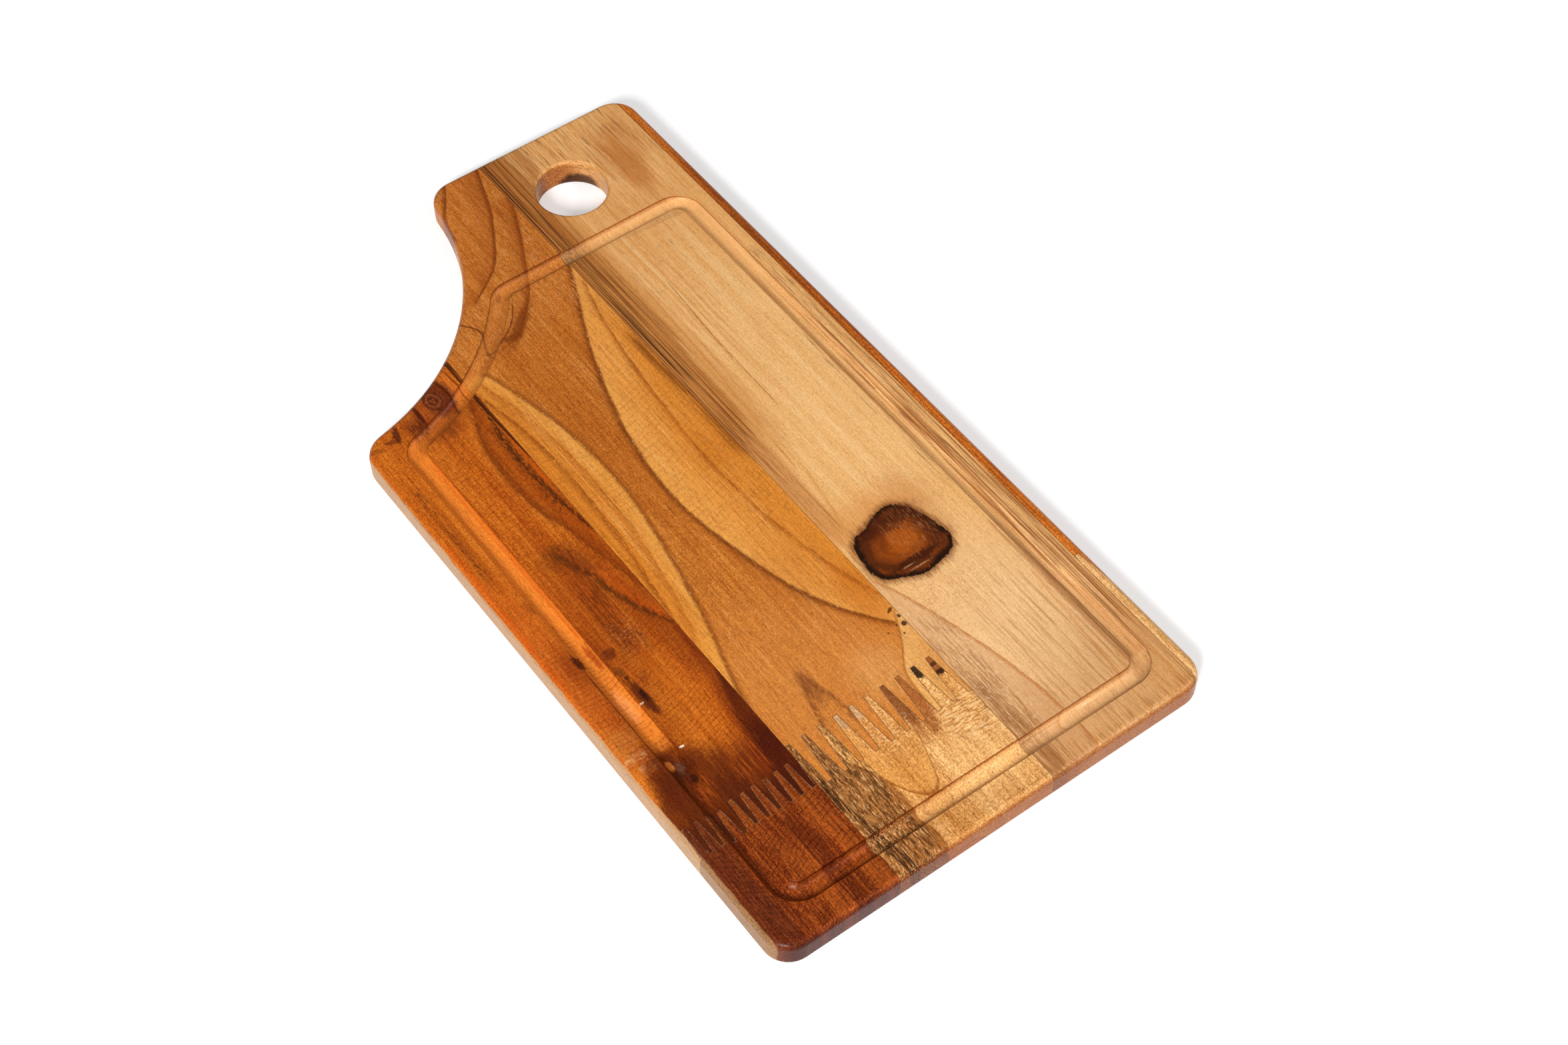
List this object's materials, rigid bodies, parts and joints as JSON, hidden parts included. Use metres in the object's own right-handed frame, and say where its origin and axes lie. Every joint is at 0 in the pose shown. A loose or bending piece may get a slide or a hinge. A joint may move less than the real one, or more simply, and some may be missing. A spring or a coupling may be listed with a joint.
{
  "type": "cutting board",
  "caption": "Paddle cutting board glued up from finger-jointed hardwood staves, with a juice groove, a scooped notch beside the handle and a hanging hole.",
  "frame": {"origin": "middle of the board's length and width, on its flat underside", "axes": "+X to the straight long edge, +Y to the handle, +Z out of the grooved cutting face"},
  "size_m": [0.2, 0.393, 0.013],
  "materials": {
    "orange_heartwood": "oiled satin",
    "red_heartwood": "oiled satin",
    "golden_heartwood": "oiled satin",
    "yellow_sapwood": "oiled satin",
    "pale_sapwood": "oiled satin",
    "brown_heartwood": "oiled satin",
    "straw_sapwood": "oiled satin",
    "dark_glue": "satin",
    "clear_glue": "gloss"
  },
  "bodies": {
    "root": {"left_stave": "orange_heartwood", "left_stave_end": "red_heartwood", "middle_stave": "golden_heartwood", "middle_stave_end": "yellow_sapwood", "right_stave": "pale_sapwood", "edge_stave": "brown_heartwood", "edge_stave_end": "straw_sapwood", "left_glue_line": "dark_glue", "middle_glue_line": "dark_glue", "edge_glue_line": "dark_glue", "left_finger_glue": "clear_glue", "middle_finger_glue": "clear_glue", "edge_finger_glue": "clear_glue"}
  },
  "joints": []
}
